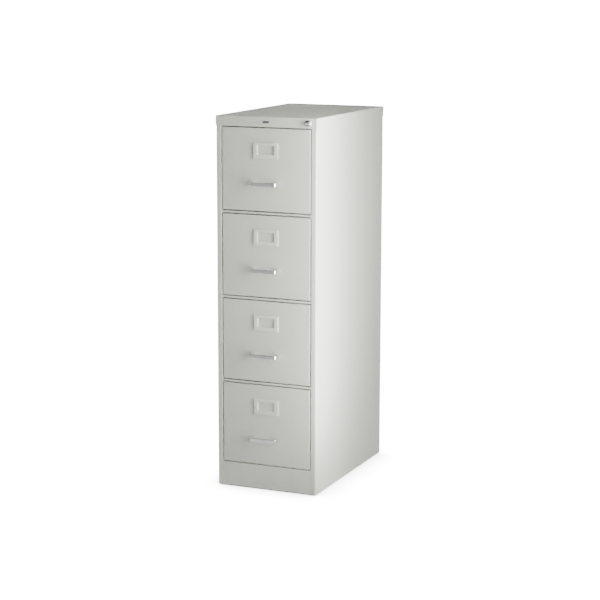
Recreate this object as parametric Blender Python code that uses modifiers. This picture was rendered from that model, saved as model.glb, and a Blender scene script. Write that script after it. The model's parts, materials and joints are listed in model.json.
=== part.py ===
"""Four-drawer vertical filing cabinet in sheet steel, letter width.

Frame: X to the right, Y to the back, Z up, with the origin on the floor under the middle of the
bounding box, pulls included. Every piece is one object, named as a fitter would name it.
"""

import math

import bmesh
import bpy
from mathutils import Vector

MM = 0.001

# ---------------------------------------------------------------- overall sizes
DRAWERS = 4
CAP_WIDTH = 381 * MM
CAP_DEPTH = 635 * MM
DRAWER_FRONT_HEIGHT = 286 * MM
RAIL_FACE = 7 * MM
BASE_HEIGHT = 88.8 * MM
CAP_SKIRT = 35 * MM

# ---------------------------------------------------------------- sheet and clearances
SHEET = 1.0 * MM
TRAY_SHEET = 0.8 * MM
SEAM = 0.3 * MM
DRAWER_GAP = 4 * MM
BEND_STEPS = 3
ROUND_STEPS = 24
SHEET_BEND = 2 * MM
EDGE_ANGLE = math.radians(40)
CUTTER_REACH = 10 * MM
MERGE_DISTANCE = 0.01 * MM

# ---------------------------------------------------------------- case
FRONT_CORNER_RADIUS = 4.5 * MM
REAR_CORNER_RADIUS = 2.5 * MM
CAP_EDGE_RADIUS = 1.6 * MM
STILE_WIDTH = 19.5 * MM
STILE_RETURN = 14 * MM
STILE_LIP = 6 * MM
REAR_FLANGE = 14 * MM
BACK_FLANGE = 12 * MM
RAIL_DEPTH = 18 * MM
TOE_RETURN = 14 * MM
CASE_LIFT = 3 * MM

# ---------------------------------------------------------------- levelling glides
GLIDE_INSET_X = 21.5 * MM
GLIDE_INSET_Y = 36 * MM
GLIDE_FOOT_RADIUS = 14 * MM
GLIDE_FOOT_HEIGHT = 6 * MM
GLIDE_FOOT_TAPER = 4 * MM
GLIDE_NUT_RADIUS = 7.5 * MM
GLIDE_NUT_HEIGHT = 4 * MM
GLIDE_STEM_RADIUS = 4 * MM
GLIDE_STEM_TOP = 40 * MM
GLIDE_HOLE_CLEARANCE = 0.5 * MM
SHELF_HEIGHT = 12 * MM
SHELF_WIDTH = 40 * MM
SHELF_UPSTAND = 35 * MM
SHELF_END_CLEARANCE = 1.5 * MM

# ---------------------------------------------------------------- drawers
FRONT_PAN_DEPTH = 19 * MM
FRONT_EDGE_RADIUS = 2.2 * MM
LINER_INSET = 0.5 * MM
TRAY_RISE = 11 * MM
TRAY_TOP_DROP = 30 * MM
TRAY_REAR_CLEARANCE = 32.5 * MM
TRAY_BEND = 3 * MM
TRAY_CREASE = 1.5 * MM
HEM_WIDTH = 5 * MM
HEM_DEPTH = 10 * MM
BACK_PANEL_HEIGHT = 200 * MM
TRAY_BACK_INSET = 1 * MM

# ---------------------------------------------------------------- telescopic slides
SLIDE_RISE = 71 * MM
SLIDE_OPENING_CLEARANCE = 2.5 * MM
MID_WIDTH = 10.5 * MM
MID_HEIGHT = 33 * MM
MID_TO_TRAY = 1 * MM
RUNNER_WEB_GAP = 3 * MM
RUNNER_HEIGHT = 25 * MM
CHANNEL_HEIGHT = 45 * MM
CHANNEL_OVER_MID = 2 * MM
CHANNEL_SET_BACK = 46 * MM
CHANNEL_REAR_CLEARANCE = 26 * MM
MID_SET_BACK = 2 * MM
MID_REAR_CLEARANCE = 18 * MM

# ---------------------------------------------------------------- drawer furniture
PULL_WIDTH = 101 * MM
PULL_HEIGHT = 14 * MM
PULL_THICKNESS = 5 * MM
PULL_PROJECTION = 35 * MM
PULL_BEND = 9 * MM
PULL_EDGE_RADIUS = 1 * MM
PULL_DROP = 190.5 * MM
LABEL_WIDTH = 93 * MM
LABEL_HEIGHT = 54 * MM
LABEL_THICKNESS = 2.5 * MM
LABEL_DROP = 77 * MM
LABEL_WINDOW_WIDTH = 62 * MM
LABEL_WINDOW_HEIGHT = 33 * MM
LABEL_WINDOW_RAISE = 2 * MM
LABEL_EDGE_RADIUS = 0.9 * MM
FOLLOWER_HALF_WIDTH = 115 * MM
FOLLOWER_HEIGHT = 150 * MM
FOLLOWER_LEAN = 18 * MM
FOLLOWER_FOOT = 60 * MM
FOLLOWER_CURL = 8 * MM
FOLLOWER_SHEET = 1.5 * MM
FOLLOWER_FROM_REAR = 90 * MM
FOLLOWER_CLEARANCE = 0.4 * MM

# ---------------------------------------------------------------- badge
BADGE_WIDTH = 26 * MM
BADGE_HEIGHT = 8 * MM
BADGE_THICKNESS = 1 * MM
BADGE_EDGE_RADIUS = 0.3 * MM

# ---------------------------------------------------------------- gang lock
LOCK_INSET = 31 * MM
LOCK_DROP = 17.5 * MM
LOCK_FLANGE_RADIUS = 11.5 * MM
LOCK_FLANGE_THICKNESS = 2.5 * MM
LOCK_FLANGE_CHAMFER = 1 * MM
LOCK_BARREL_RADIUS = 9.5 * MM
LOCK_BARREL_LENGTH = 22 * MM
PLUNGER_RADIUS = 7.5 * MM
PLUNGER_REACH = 11.5 * MM
PLUNGER_CHAMFER = 0.7 * MM
PLUNGER_SHOULDER = 23.5 * MM
NOSE_RADIUS = 5 * MM
NOSE_END = 31.5 * MM
CORE_RADIUS = 4.5 * MM
CORE_LENGTH = 10 * MM
KEYWAY_WIDTH = 1.6 * MM
KEYWAY_HEIGHT = 6 * MM
KEYWAY_DEPTH = 6 * MM
LOCK_CLEARANCE = 0.3 * MM
LOCK_TRAVEL = 8 * MM
BAR_LIFT_RATIO = 0.75
BAR_WIDTH = 12 * MM
BAR_THICKNESS = 3 * MM
BAR_TO_SIDE = 2.3 * MM
BAR_BOTTOM = 110 * MM
BAR_OVER_NOSE = 2 * MM
BAR_ARM_DEPTH = 7.3 * MM
BAR_RAMP_GAP = 0.4 * MM
BAR_RAMP_HALF_WIDTH = 7 * MM
BAR_NOSE_CLEARANCE = 1 * MM
TOOTH_HEIGHT = 10 * MM
TOOTH_TIP_FROM_TRAY = 4.5 * MM
STRIKE_RISE = 149 * MM
STRIKE_HEIGHT = 14 * MM
STRIKE_WIDTH = 10.5 * MM
STRIKE_THICKNESS = 3 * MM
STRIKE_TO_TOOTH = 2 * MM
TOOTH_DROP = 1.5 * MM

# ---------------------------------------------------------------- worked-out places
CAP_PROUD = SHEET + SEAM
OVERALL_DEPTH = PULL_PROJECTION + CAP_DEPTH - CAP_PROUD
FACE_Y = PULL_PROJECTION - OVERALL_DEPTH / 2
BACK_Y = FACE_Y + CAP_DEPTH - 2 * CAP_PROUD
BODY_HALF = CAP_WIDTH / 2 - CAP_PROUD
SIDE_INNER = BODY_HALF - SHEET
OPENING_HALF = BODY_HALF - STILE_WIDTH
PITCH = DRAWER_FRONT_HEIGHT + 2 * DRAWER_GAP + RAIL_FACE
HEIGHT = BASE_HEIGHT + DRAWERS * PITCH - RAIL_FACE + CAP_SKIRT
BODY_TOP = HEIGHT - CAP_PROUD
HEADER_BOTTOM = HEIGHT - CAP_SKIRT

MID_OUTER = OPENING_HALF - SLIDE_OPENING_CLEARANCE
MID_INNER = MID_OUTER - MID_WIDTH
TRAY_HALF = MID_INNER - MID_TO_TRAY
TRAY_FRONT_Y = FACE_Y + FRONT_PAN_DEPTH + SEAM
TRAY_REAR_Y = BACK_Y - TRAY_REAR_CLEARANCE
CHANNEL_FRONT_Y = FACE_Y + CHANNEL_SET_BACK
CHANNEL_REAR_Y = BACK_Y - CHANNEL_REAR_CLEARANCE

LOCK_X = BODY_HALF - LOCK_INSET
LOCK_Z = HEIGHT - LOCK_DROP
CAP_FACE_Y = FACE_Y - CAP_PROUD
NOSE_REAR_Y = CAP_FACE_Y + NOSE_END
BAR_FRONT_Y = NOSE_REAR_Y + LOCK_TRAVEL + BAR_NOSE_CLEARANCE
BAR_REAR_Y = BAR_FRONT_Y + BAR_THICKNESS
BAR_OUTER = SIDE_INNER - BAR_TO_SIDE
BAR_INNER = BAR_OUTER - BAR_WIDTH
BAR_TOP = LOCK_Z + NOSE_RADIUS + BAR_OVER_NOSE

COLLECTION_NAME = "filing_cabinet"


def front_bottom(number):
    """Height of a drawer front's bottom edge; drawer 1 is the top one."""
    return BASE_HEIGHT + DRAWER_GAP + (DRAWERS - number) * PITCH


# ---------------------------------------------------------------- scene and materials
def clear_scene():
    for item in list(bpy.data.objects):
        bpy.data.objects.remove(item, do_unlink=True)


def make_collection(name):
    collection = bpy.data.collections.new(name)
    bpy.context.scene.collection.children.link(collection)
    return collection


def make_material(name, colour, roughness, metallic):
    material = bpy.data.materials.new(name)
    material.use_nodes = True
    shader = material.node_tree.nodes["Principled BSDF"]
    shader.inputs["Base Color"].default_value = (*colour, 1.0)
    shader.inputs["Roughness"].default_value = roughness
    shader.inputs["Metallic"].default_value = metallic
    material.diffuse_color = (*colour, 1.0)
    return material


clear_scene()
CABINET = make_collection(COLLECTION_NAME)
CUTTERS = make_collection("cutters")
PAINT = make_material("light_grey_enamel", (0.60, 0.61, 0.58), 0.42, 0.0)
CHROME = make_material("chrome_plate", (0.78, 0.78, 0.79), 0.12, 1.0)
ZINC = make_material("zinc_plated_steel", (0.58, 0.59, 0.60), 0.35, 1.0)
PLASTIC = make_material("black_plastic", (0.03, 0.03, 0.03), 0.55, 0.0)


# ---------------------------------------------------------------- modelling helpers
def new_object(name, mesh, material, collection=None):
    piece = bpy.data.objects.new(name, mesh)
    (collection or CABINET).objects.link(piece)
    if material is not None:
        mesh.materials.append(material)
    return piece


def mesh_from(bm, name):
    mesh = bpy.data.meshes.new(name)
    bm.to_mesh(mesh)
    bm.free()
    return mesh


def put_at(piece, origin, parent=None):
    """Give a piece modelled in place its own origin, and a parent whose origin is known."""
    origin = Vector(origin)
    for vertex in piece.data.vertices:
        vertex.co -= origin
    piece.location = origin
    if parent is not None:
        piece.parent = parent
        piece.location = origin - parent.location
    return piece


def axis_empty(name, location):
    """An empty on a sliding piece's axis, which carries the pieces that slide together."""
    empty = bpy.data.objects.new(name, None)
    empty.empty_display_size = 0.05
    empty.location = location
    CABINET.objects.link(empty)
    return empty


def rounded(outline, radius):
    """The outline with an arc in place of each inner corner. A corner's radius may be its own."""
    radii = radius if isinstance(radius, (list, tuple)) else [radius] * (len(outline) - 2)
    points = [Vector(outline[0])]
    for before, corner, after, r in zip(outline, outline[1:], outline[2:], radii):
        before, corner, after = Vector(before), Vector(corner), Vector(after)
        inward = (before - corner).normalized()
        onward = (after - corner).normalized()
        half_angle = inward.angle(onward) / 2
        centre = corner + (inward + onward).normalized() * (r / math.sin(half_angle))
        start = corner + inward * (r / math.tan(half_angle)) - centre
        end = corner + onward * (r / math.tan(half_angle)) - centre
        turn = start.angle_signed(end)
        for step in range(BEND_STEPS + 1):
            angle = -turn * step / BEND_STEPS
            cosine, sine = math.cos(angle), math.sin(angle)
            arm = Vector((start.x * cosine - start.y * sine, start.x * sine + start.y * cosine))
            points.append(centre + arm)
    points.append(Vector(outline[-1]))
    return points


def mirrored(outline):
    """The outline on the other side of X = 0, with its sheet still on the same side of it."""
    return [(-u, v) for u, v in reversed(outline)]


def along(axis, u, v, w):
    """A point from two outline coordinates and a distance along the sweep's axis."""
    return {"X": (w, u, v), "Y": (u, w, v), "Z": (u, v, w)}[axis]


def bent_sheet(name, outline, axis, low, high, thickness, material):
    """Sheet bent along an outline and swept along an axis. Its metal is left of the outline."""
    bm = bmesh.new()
    row = [bm.verts.new(along(axis, point[0], point[1], low)) for point in outline]
    edges = [bm.edges.new(pair) for pair in zip(row, row[1:])]
    swept = bmesh.ops.extrude_edge_only(bm, edges=edges)["geom"]
    moved = [item for item in swept if isinstance(item, bmesh.types.BMVert)]
    bmesh.ops.translate(bm, verts=moved, vec=along(axis, 0.0, 0.0, high - low))
    bm.normal_update()
    bm.faces.ensure_lookup_table()
    run = Vector(outline[1]) - Vector(outline[0])
    metal_side = Vector(along(axis, -run[1], run[0], 0.0))
    first = next(face for face in bm.faces if row[0] in face.verts)
    offset = 1.0 if first.normal.dot(metal_side) > 0 else -1.0
    piece = new_object(name, mesh_from(bm, name), material)
    solidify = piece.modifiers.new("sheet", "SOLIDIFY")
    solidify.thickness = thickness
    solidify.offset = offset
    solidify.use_even_offset = True
    return piece


def block(name, low, high, material, edge_radius=0.0, collection=None):
    """A box between two corners, with rounded edges where a radius is given."""
    low, high = Vector(low), Vector(high)
    bm = bmesh.new()
    bmesh.ops.create_cube(bm, size=1.0)
    bmesh.ops.scale(bm, vec=high - low, verts=bm.verts)
    bmesh.ops.translate(bm, vec=(low + high) / 2, verts=bm.verts)
    piece = new_object(name, mesh_from(bm, name), material, collection)
    if edge_radius > 0:
        round_edges(piece, edge_radius, 2)
    return piece


def open_pan(name, low, high, open_side, edge_radius, material):
    """A sheet box without the face on its open side, with its outer edges rounded."""
    low, high = Vector(low), Vector(high)
    bm = bmesh.new()
    bmesh.ops.create_cube(bm, size=1.0)
    gone = [face for face in bm.faces if face.normal.dot(Vector(open_side)) > 0.9]
    bmesh.ops.delete(bm, geom=gone, context="FACES_ONLY")
    bmesh.ops.scale(bm, vec=high - low, verts=bm.verts)
    bmesh.ops.translate(bm, vec=(low + high) / 2, verts=bm.verts)
    piece = new_object(name, mesh_from(bm, name), material)
    round_edges(piece, edge_radius, 2)
    solidify = piece.modifiers.new("sheet", "SOLIDIFY")
    solidify.thickness = SHEET
    solidify.offset = -1.0
    solidify.use_even_offset = True
    return piece


def round_edges(piece, radius, segments):
    bevel = piece.modifiers.new("rounded_edges", "BEVEL")
    bevel.width = radius
    bevel.segments = segments
    bevel.limit_method = "ANGLE"
    bevel.angle_limit = EDGE_ANGLE


def turned(name, profile, location, material, facing_front=False, closed=False):
    """A piece turned about its local Z from a profile of (radius, height), outer side downwards."""
    bm = bmesh.new()
    verts = [bm.verts.new((radius, 0.0, height)) for radius, height in profile]
    pairs = list(zip(verts, verts[1:]))
    if closed:
        pairs.append((verts[-1], verts[0]))
    for pair in pairs:
        bm.edges.new(pair)
    piece = new_object(name, mesh_from(bm, name), material)
    screw = piece.modifiers.new("turned", "SCREW")
    screw.axis = "Z"
    screw.steps = ROUND_STEPS
    screw.render_steps = ROUND_STEPS
    screw.use_merge_vertices = True
    screw.merge_threshold = MERGE_DISTANCE
    screw.use_smooth_shade = False
    piece.location = location
    if facing_front:
        piece.rotation_euler = (math.radians(90), 0.0, 0.0)
    return piece


def rod_cutter(name, centre, radius, along_y=False):
    """A round cutter, long enough to pass through a sheet at its middle."""
    bm = bmesh.new()
    bmesh.ops.create_cone(
        bm,
        cap_ends=True,
        segments=ROUND_STEPS,
        radius1=radius,
        radius2=radius,
        depth=2 * CUTTER_REACH,
    )
    cutter = new_object(name, mesh_from(bm, name), None, CUTTERS)
    cutter.location = centre
    if along_y:
        cutter.rotation_euler = (math.radians(90), 0.0, 0.0)
    return hide_helper(cutter)


def hide_helper(helper):
    helper.hide_render = True
    helper.display_type = "WIRE"
    return helper


def combine(piece, helper, operation):
    boolean = piece.modifiers.new(helper.name, "BOOLEAN")
    boolean.operation = operation
    boolean.solver = "EXACT"
    boolean.object = helper
    return piece


def cut(piece, cutter):
    return combine(piece, cutter, "DIFFERENCE")


def join(piece, addition):
    return combine(piece, hide_helper(addition), "UNION")


# ---------------------------------------------------------------- case
def side_outline():
    """Plan of the right side panel: stile lip, stile, front corner, side, rear flange."""
    corners = [
        (OPENING_HALF + STILE_LIP, FACE_Y + STILE_RETURN),
        (OPENING_HALF, FACE_Y + STILE_RETURN),
        (OPENING_HALF, FACE_Y),
        (BODY_HALF, FACE_Y),
        (BODY_HALF, BACK_Y),
        (BODY_HALF - REAR_FLANGE, BACK_Y),
    ]
    return rounded(corners, [SHEET_BEND, SHEET_BEND, FRONT_CORNER_RADIUS, REAR_CORNER_RADIUS])


def make_sides():
    right = side_outline()
    for name, outline in (("case_side_right", right), ("case_side_left", mirrored(right))):
        bent_sheet(name, outline, "Z", CASE_LIFT, BODY_TOP, SHEET, PAINT)


def make_case_back():
    """Back panel, set just inside the side panels' rear flanges."""
    rear = BACK_Y - SHEET - SEAM
    half = SIDE_INNER - (REAR_CORNER_RADIUS - SHEET)
    corners = [
        (rear - BACK_FLANGE, CASE_LIFT),
        (rear, CASE_LIFT),
        (rear, BODY_TOP),
        (rear - BACK_FLANGE, BODY_TOP),
    ]
    bent_sheet("case_back", rounded(corners, SHEET_BEND), "X", -half, half, SHEET, PAINT)


def make_top_cap():
    """Top cover, a pan turned over the body; its front skirt is the header that holds the lock."""
    cap = open_pan(
        "top_cap",
        (-CAP_WIDTH / 2, CAP_FACE_Y, HEADER_BOTTOM),
        (CAP_WIDTH / 2, CAP_FACE_Y + CAP_DEPTH, HEIGHT),
        (0, 0, -1),
        CAP_EDGE_RADIUS,
        PAINT,
    )
    cut(cap, lock_hole("cap_lock_hole"))


def lock_hole(name):
    centre = (LOCK_X, FACE_Y, LOCK_Z)
    return rod_cutter(name, centre, LOCK_BARREL_RADIUS + LOCK_CLEARANCE, along_y=True)


def rail_outline(bottom, top):
    """Section of a channel rail, open to the back: bottom flange, face, top flange."""
    corners = [
        (FACE_Y + RAIL_DEPTH, top),
        (FACE_Y, top),
        (FACE_Y, bottom),
        (FACE_Y + RAIL_DEPTH, bottom),
    ]
    return rounded(corners, SHEET_BEND)


def make_rails():
    half = OPENING_HALF - SEAM
    for number in range(1, DRAWERS):
        top = front_bottom(number) - DRAWER_GAP
        outline = rail_outline(top - RAIL_FACE, top)
        bent_sheet(f"divider_rail_{number}", outline, "X", -half, half, SHEET, PAINT)

    toe = [
        (FACE_Y + RAIL_DEPTH, BASE_HEIGHT),
        (FACE_Y, BASE_HEIGHT),
        (FACE_Y, CASE_LIFT),
        (FACE_Y + TOE_RETURN, CASE_LIFT),
    ]
    bent_sheet("toe_panel", rounded(toe, SHEET_BEND), "X", -half, half, SHEET, PAINT)

    header = [
        (FACE_Y, BODY_TOP),
        (FACE_Y, HEADER_BOTTOM),
        (FACE_Y + RAIL_DEPTH, HEADER_BOTTOM),
    ]
    rail = bent_sheet("top_rail", rounded(header, SHEET_BEND), "X", -half, half, SHEET, PAINT)
    cut(rail, lock_hole("rail_lock_hole"))


def make_base():
    """Two shelves along the bottom of the sides, and the levelling glides screwed into them."""
    outer = SIDE_INNER - SEAM
    corners = [
        (outer - SHELF_WIDTH, SHELF_HEIGHT),
        (outer, SHELF_HEIGHT),
        (outer, SHELF_HEIGHT + SHELF_UPSTAND),
    ]
    right = rounded(corners, SHEET_BEND)
    front_y = FACE_Y + STILE_RETURN + SHELF_END_CLEARANCE
    rear_y = BACK_Y - SHEET - SEAM - BACK_FLANGE - SHELF_END_CLEARANCE
    glide_x = BODY_HALF - GLIDE_INSET_X
    glide_y = {"front": FACE_Y + GLIDE_INSET_Y, "rear": BACK_Y - GLIDE_INSET_Y}
    for side, sign, outline in (("right", 1, right), ("left", -1, mirrored(right))):
        shelf = bent_sheet(f"base_shelf_{side}", outline, "Y", front_y, rear_y, SHEET, ZINC)
        for end, y in glide_y.items():
            centre = (sign * glide_x, y, SHELF_HEIGHT)
            radius = GLIDE_STEM_RADIUS + GLIDE_HOLE_CLEARANCE
            cut(shelf, rod_cutter(f"glide_hole_{end}_{side}", centre, radius))
            make_glide(f"glide_{end}_{side}", (sign * glide_x, y, 0.0))


def make_glide(name, location):
    nut_top = SHELF_HEIGHT - SEAM
    nut_bottom = nut_top - GLIDE_NUT_HEIGHT
    profile = [
        (0.0, GLIDE_STEM_TOP),
        (GLIDE_STEM_RADIUS, GLIDE_STEM_TOP),
        (GLIDE_STEM_RADIUS, nut_top),
        (GLIDE_NUT_RADIUS, nut_top),
        (GLIDE_NUT_RADIUS, nut_bottom),
        (GLIDE_FOOT_RADIUS - GLIDE_FOOT_TAPER, GLIDE_FOOT_HEIGHT),
        (GLIDE_FOOT_RADIUS, GLIDE_FOOT_HEIGHT / 2),
        (GLIDE_FOOT_RADIUS, 0.0),
        (0.0, 0.0),
    ]
    turned(name, profile, location, PLASTIC)


def make_badge():
    """A plain blank plate in the middle of the header."""
    rear = CAP_FACE_Y - SEAM
    block(
        "header_plate",
        (-BADGE_WIDTH / 2, rear - BADGE_THICKNESS, LOCK_Z - BADGE_HEIGHT / 2),
        (BADGE_WIDTH / 2, rear, LOCK_Z + BADGE_HEIGHT / 2),
        CHROME,
        BADGE_EDGE_RADIUS,
    )


# ---------------------------------------------------------------- slides
def channel_outline(inner, outer, middle, height):
    """Section of a right-hand C channel, open towards the drawer."""
    corners = [
        (inner, middle - height / 2),
        (outer, middle - height / 2),
        (outer, middle + height / 2),
        (inner, middle + height / 2),
    ]
    return rounded(corners, SHEET_BEND)


def make_slides(number):
    """Case channel and middle member on both sides of a drawer."""
    middle = front_bottom(number) + SLIDE_RISE
    fixed = channel_outline(
        MID_INNER + CHANNEL_OVER_MID, SIDE_INNER - SEAM, middle, CHANNEL_HEIGHT
    )
    moving = channel_outline(MID_INNER, MID_OUTER, middle, MID_HEIGHT)
    mid_front = CHANNEL_FRONT_Y + MID_SET_BACK
    mid_rear = CHANNEL_REAR_Y - MID_REAR_CLEARANCE
    carrier = axis_empty(f"mid_slides_{number}_axis", (0.0, mid_front, middle))
    for side, sign in (("right", 1), ("left", -1)):
        fixed_side = fixed if sign > 0 else mirrored(fixed)
        moving_side = moving if sign > 0 else mirrored(moving)
        bent_sheet(
            f"case_channel_{number}_{side}",
            fixed_side, "Y", CHANNEL_FRONT_Y, CHANNEL_REAR_Y, SHEET, ZINC,
        )
        member = bent_sheet(
            f"mid_slide_{number}_{side}", moving_side, "Y", mid_front, mid_rear, SHEET, ZINC
        )
        put_at(member, (sign * (MID_INNER + MID_OUTER) / 2, mid_front, middle), carrier)


# ---------------------------------------------------------------- drawers
def tray_outline(bottom, middle, top):
    """Right half of a tray's section: bottom, side with the formed runner, hem."""
    runner = MID_OUTER - SHEET - RUNNER_WEB_GAP + TRAY_SHEET
    return [
        (TRAY_HALF, bottom),
        (TRAY_HALF, middle - RUNNER_HEIGHT / 2),
        (runner, middle - RUNNER_HEIGHT / 2),
        (runner, middle + RUNNER_HEIGHT / 2),
        (TRAY_HALF, middle + RUNNER_HEIGHT / 2),
        (TRAY_HALF, top),
        (TRAY_HALF - HEM_WIDTH, top),
        (TRAY_HALF - HEM_WIDTH, top - HEM_DEPTH),
    ]


def make_tray(number, drawer):
    base = front_bottom(number)
    bottom = base + TRAY_RISE
    top = base + DRAWER_FRONT_HEIGHT - TRAY_TOP_DROP
    middle = base + SLIDE_RISE
    right = tray_outline(bottom, middle, top)
    creases = [TRAY_CREASE] * (len(right) - 2)
    outline = rounded(mirrored(right) + right, creases + [TRAY_BEND, TRAY_BEND] + creases)
    start = TRAY_FRONT_Y + TRAY_SHEET / 2
    tray = bent_sheet(
        f"tray_{number}", outline, "Y", start, TRAY_REAR_Y, TRAY_SHEET, PAINT
    )

    half = OPENING_HALF - DRAWER_GAP - LINER_INSET
    liner = block(
        f"liner_{number}",
        (-half, TRAY_FRONT_Y, base + LINER_INSET),
        (half, TRAY_FRONT_Y + TRAY_SHEET, base + DRAWER_FRONT_HEIGHT - LINER_INSET),
        None,
        collection=CUTTERS,
    )
    join(tray, liner)

    strike_y = BAR_REAR_Y + STRIKE_TO_TOOTH
    strike_x = TRAY_HALF - TRAY_SHEET / 2
    strike = block(
        f"strike_{number}",
        (strike_x, strike_y, base + STRIKE_RISE),
        (strike_x + STRIKE_WIDTH, strike_y + STRIKE_THICKNESS, base + STRIKE_RISE + STRIKE_HEIGHT),
        None,
        collection=CUTTERS,
    )
    join(tray, strike)
    put_at(tray, (0.0, start, bottom), drawer)
    return bottom


def make_tray_back(number, bottom, drawer):
    rear = TRAY_REAR_Y - TRAY_BACK_INSET
    low = bottom + TRAY_SHEET + SEAM
    half = TRAY_HALF - TRAY_BEND
    corners = [
        (rear - BACK_FLANGE, low),
        (rear, low),
        (rear, low + BACK_PANEL_HEIGHT),
        (rear - BACK_FLANGE, low + BACK_PANEL_HEIGHT),
    ]
    back = bent_sheet(
        f"tray_back_{number}", rounded(corners, SHEET_BEND), "X", -half, half, TRAY_SHEET, PAINT
    )
    put_at(back, (0.0, rear, low), drawer)


def make_drawer_front(number, drawer):
    base = front_bottom(number)
    half = OPENING_HALF - DRAWER_GAP
    front = open_pan(
        f"drawer_front_{number}",
        (-half, FACE_Y, base),
        (half, FACE_Y + FRONT_PAN_DEPTH, base + DRAWER_FRONT_HEIGHT),
        (0, 1, 0),
        FRONT_EDGE_RADIUS,
        PAINT,
    )
    put_at(front, (0.0, FACE_Y, base), drawer)


def make_pull(number, drawer):
    """Chromed strap pull: two legs and a bar, bent from one strip."""
    middle = front_bottom(number) + DRAWER_FRONT_HEIGHT - PULL_DROP
    half = PULL_WIDTH / 2
    corners = [
        (-half, FACE_Y - SEAM),
        (-half, FACE_Y - PULL_PROJECTION),
        (half, FACE_Y - PULL_PROJECTION),
        (half, FACE_Y - SEAM),
    ]
    low = middle - PULL_HEIGHT / 2
    high = middle + PULL_HEIGHT / 2
    pull = bent_sheet(
        f"pull_{number}", rounded(corners, PULL_BEND), "Z", low, high, PULL_THICKNESS, CHROME
    )
    round_edges(pull, PULL_EDGE_RADIUS, 1)
    put_at(pull, (0.0, FACE_Y, middle), drawer)


def make_label_holder(number, drawer):
    middle = front_bottom(number) + DRAWER_FRONT_HEIGHT - LABEL_DROP
    rear = FACE_Y - SEAM
    holder = block(
        f"label_holder_{number}",
        (-LABEL_WIDTH / 2, rear - LABEL_THICKNESS, middle - LABEL_HEIGHT / 2),
        (LABEL_WIDTH / 2, rear, middle + LABEL_HEIGHT / 2),
        PAINT,
        LABEL_EDGE_RADIUS,
    )
    window_middle = middle + LABEL_WINDOW_RAISE
    window = block(
        f"label_window_{number}",
        (-LABEL_WINDOW_WIDTH / 2, rear - CUTTER_REACH, window_middle - LABEL_WINDOW_HEIGHT / 2),
        (LABEL_WINDOW_WIDTH / 2, rear + CUTTER_REACH, window_middle + LABEL_WINDOW_HEIGHT / 2),
        None,
        collection=CUTTERS,
    )
    cut(holder, hide_helper(window))
    put_at(holder, (0.0, rear, middle), drawer)


def make_follower(number, bottom, drawer):
    """Follower plate that holds the files upright; its foot runs on the tray's bottom."""
    low = bottom + TRAY_SHEET + FOLLOWER_CLEARANCE
    base_y = TRAY_REAR_Y - FOLLOWER_FROM_REAR
    lean_y = base_y + FOLLOWER_LEAN
    corners = [
        (lean_y + FOLLOWER_CURL, low + FOLLOWER_HEIGHT),
        (lean_y, low + FOLLOWER_HEIGHT),
        (base_y, low),
        (base_y + FOLLOWER_FOOT, low),
    ]
    follower = bent_sheet(
        f"follower_{number}",
        rounded(corners, SHEET_BEND),
        "X", -FOLLOWER_HALF_WIDTH, FOLLOWER_HALF_WIDTH, FOLLOWER_SHEET, ZINC,
    )
    put_at(follower, (0.0, base_y, low), drawer)


def make_drawer(number):
    middle = front_bottom(number) + SLIDE_RISE
    drawer = axis_empty(f"drawer_{number}_axis", (0.0, FACE_Y, middle))
    make_drawer_front(number, drawer)
    bottom = make_tray(number, drawer)
    make_tray_back(number, bottom, drawer)
    make_pull(number, drawer)
    make_label_holder(number, drawer)
    make_follower(number, bottom, drawer)
    make_slides(number)


# ---------------------------------------------------------------- lock
def make_lock_cylinder():
    """Push-to-lock cylinder: flanged housing, sprung plunger, and the core that the key turns."""
    face = (LOCK_X, CAP_FACE_Y, LOCK_Z)
    bore = PLUNGER_RADIUS + LOCK_CLEARANCE
    housing = [
        (bore, LOCK_FLANGE_THICKNESS),
        (LOCK_FLANGE_RADIUS - LOCK_FLANGE_CHAMFER, LOCK_FLANGE_THICKNESS),
        (LOCK_FLANGE_RADIUS, LOCK_FLANGE_THICKNESS - LOCK_FLANGE_CHAMFER),
        (LOCK_FLANGE_RADIUS, SEAM),
        (LOCK_BARREL_RADIUS, SEAM),
        (LOCK_BARREL_RADIUS, -LOCK_BARREL_LENGTH),
        (bore, -LOCK_BARREL_LENGTH),
    ]
    turned("lock_housing", housing, face, CHROME, facing_front=True, closed=True)

    core_bottom = PLUNGER_REACH - CORE_LENGTH
    core_bore = CORE_RADIUS + LOCK_CLEARANCE
    plunger = [
        (0.0, core_bottom),
        (core_bore, core_bottom),
        (core_bore, PLUNGER_REACH),
        (PLUNGER_RADIUS - PLUNGER_CHAMFER, PLUNGER_REACH),
        (PLUNGER_RADIUS, PLUNGER_REACH - PLUNGER_CHAMFER),
        (PLUNGER_RADIUS, -PLUNGER_SHOULDER),
        (NOSE_RADIUS, -PLUNGER_SHOULDER),
        (NOSE_RADIUS, -NOSE_END),
        (0.0, -NOSE_END),
    ]
    turned("lock_plunger", plunger, face, CHROME, facing_front=True)

    core = [
        (0.0, PLUNGER_REACH + LOCK_CLEARANCE),
        (CORE_RADIUS, PLUNGER_REACH + LOCK_CLEARANCE),
        (CORE_RADIUS, core_bottom + LOCK_CLEARANCE),
        (0.0, core_bottom + LOCK_CLEARANCE),
    ]
    piece = turned("lock_core", core, face, CHROME, facing_front=True)
    keyway_front = CAP_FACE_Y - PLUNGER_REACH
    keyway = block(
        "keyway",
        (LOCK_X - KEYWAY_WIDTH / 2, keyway_front - CUTTER_REACH, LOCK_Z - KEYWAY_HEIGHT / 2),
        (LOCK_X + KEYWAY_WIDTH / 2, keyway_front + KEYWAY_DEPTH, LOCK_Z + KEYWAY_HEIGHT / 2),
        None,
        collection=CUTTERS,
    )
    cut(piece, hide_helper(keyway))


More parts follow.
